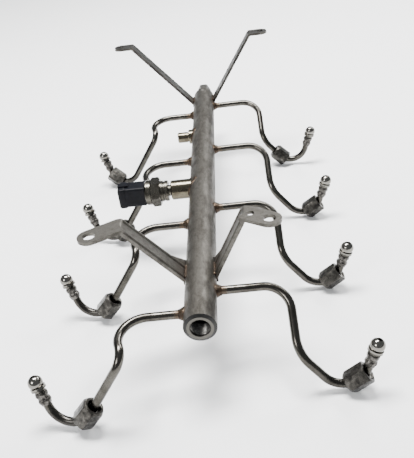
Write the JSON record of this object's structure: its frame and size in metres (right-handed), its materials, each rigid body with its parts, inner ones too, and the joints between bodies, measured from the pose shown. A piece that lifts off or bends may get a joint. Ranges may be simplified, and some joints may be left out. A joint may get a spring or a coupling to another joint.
{
  "type": "fuel rail with feed pipes",
  "caption": "Tubular high-pressure fuel rail with bent ball-nosed feed pipes on both sides, loose union nuts, a pressure sensor and strip brackets.",
  "frame": {"origin": "centre of the rail's open front port, on the rail's axis", "axes": "+Y along the rail to its plugged rear end, +X to the right-hand bank, +Z to the side the bracket tabs stand on"},
  "size_m": [0.23, 0.4578, 0.131],
  "materials": {
    "rail_steel": "matte grey-brown patina",
    "plug_steel": "matte dark",
    "stub_steel": "satin nickel",
    "weld_metal": "rough, heat-tinted",
    "pipe_steel": "semi-polished",
    "nut_steel": "dark, pitted",
    "sleeve_steel": "dark, textured",
    "bracket_steel": "grey, fine-textured",
    "stay_steel": "grey, fine-textured",
    "sensor_steel": "satin nickel",
    "connector_plastic": "blue-black satin",
    "board": "matte",
    "seal_rubber": "matte",
    "terminal_brass": "bright"
  },
  "bodies": {
    "rail": {"feed_pipe_left_1": "pipe_steel", "feed_pipe_left_2": "pipe_steel", "feed_pipe_left_3": "pipe_steel", "feed_pipe_left_4": "pipe_steel", "feed_pipe_right_1": "pipe_steel", "feed_pipe_right_2": "pipe_steel", "feed_pipe_right_3": "pipe_steel", "feed_pipe_right_4": "pipe_steel", "front_bracket_left": "bracket_steel", "front_bracket_right": "bracket_steel", "inlet_stub": "stub_steel", "rail_rear_plug": "plug_steel", "rail_tube": "rail_steel", "rear_stay_left": "stay_steel", "rear_stay_right": "stay_steel", "sensor_board": "board", "sensor_body": "sensor_steel", "sensor_boss": "sensor_steel", "sensor_crimp_ring": "sensor_steel", "sensor_diaphragm": "sensor_steel", "sensor_housing": "connector_plastic", "sensor_seal_ring": "seal_rubber", "sensor_terminal_1": "terminal_brass", "sensor_terminal_2": "terminal_brass", "sensor_terminal_3": "terminal_brass", "thrust_sleeve_left_1": "sleeve_steel", "thrust_sleeve_left_2": "sleeve_steel", "thrust_sleeve_left_3": "sleeve_steel", "thrust_sleeve_left_4": "sleeve_steel", "thrust_sleeve_right_1": "sleeve_steel", "thrust_sleeve_right_2": "sleeve_steel", "thrust_sleeve_right_3": "sleeve_steel", "thrust_sleeve_right_4": "sleeve_steel", "weld_inlet": "weld_metal", "weld_pipe_left_1": "weld_metal", "weld_pipe_left_2": "weld_metal", "weld_pipe_left_3": "weld_metal", "weld_pipe_left_4": "weld_metal", "weld_pipe_right_1": "weld_metal", "weld_pipe_right_2": "weld_metal", "weld_pipe_right_3": "weld_metal", "weld_pipe_right_4": "weld_metal", "weld_sensor_boss": "weld_metal"},
    "nut_right_1": {"union_nut_right_1": "nut_steel"},
    "nut_right_2": {"union_nut_right_2": "nut_steel"},
    "nut_right_3": {"union_nut_right_3": "nut_steel"},
    "nut_right_4": {"union_nut_right_4": "nut_steel"},
    "nut_left_1": {"union_nut_left_1": "nut_steel"},
    "nut_left_2": {"union_nut_left_2": "nut_steel"},
    "nut_left_3": {"union_nut_left_3": "nut_steel"},
    "nut_left_4": {"union_nut_left_4": "nut_steel"}
  },
  "joints": [
    {"name": "nut_right_1_turn", "type": "hinge", "parent": "rail", "child": "nut_right_1", "pos_m": [0.09723, -0.00481, -0.04887], "axis": [0.8043, -0.0137, 0.5941], "continuous": true},
    {"name": "nut_right_2_turn", "type": "hinge", "parent": "rail", "child": "nut_right_2", "pos_m": [0.09723, 0.10719, -0.04887], "axis": [0.8043, -0.0137, 0.5941], "continuous": true},
    {"name": "nut_right_3_turn", "type": "hinge", "parent": "rail", "child": "nut_right_3", "pos_m": [0.09687, 0.2192, -0.04915], "axis": [0.8222, -0.0178, 0.5689], "continuous": true},
    {"name": "nut_right_4_turn", "type": "hinge", "parent": "rail", "child": "nut_right_4", "pos_m": [0.07709, 0.33312, -0.04767], "axis": [0.7204, -0.1319, -0.6809], "continuous": true},
    {"name": "nut_left_1_turn", "type": "hinge", "parent": "rail", "child": "nut_left_1", "pos_m": [-0.07747, -0.02144, -0.04343], "axis": [-0.6527, -0.0411, -0.7565], "continuous": true},
    {"name": "nut_left_2_turn", "type": "hinge", "parent": "rail", "child": "nut_left_2", "pos_m": [-0.07817, 0.09055, -0.0441], "axis": [-0.6785, -0.0304, -0.7339], "continuous": true},
    {"name": "nut_left_3_turn", "type": "hinge", "parent": "rail", "child": "nut_left_3", "pos_m": [-0.07817, 0.20255, -0.0441], "axis": [-0.6785, -0.0304, -0.7339], "continuous": true},
    {"name": "nut_left_4_turn", "type": "hinge", "parent": "rail", "child": "nut_left_4", "pos_m": [-0.09852, 0.31834, -0.04617], "axis": [-0.7611, 0.2966, 0.5769], "continuous": true}
  ]
}
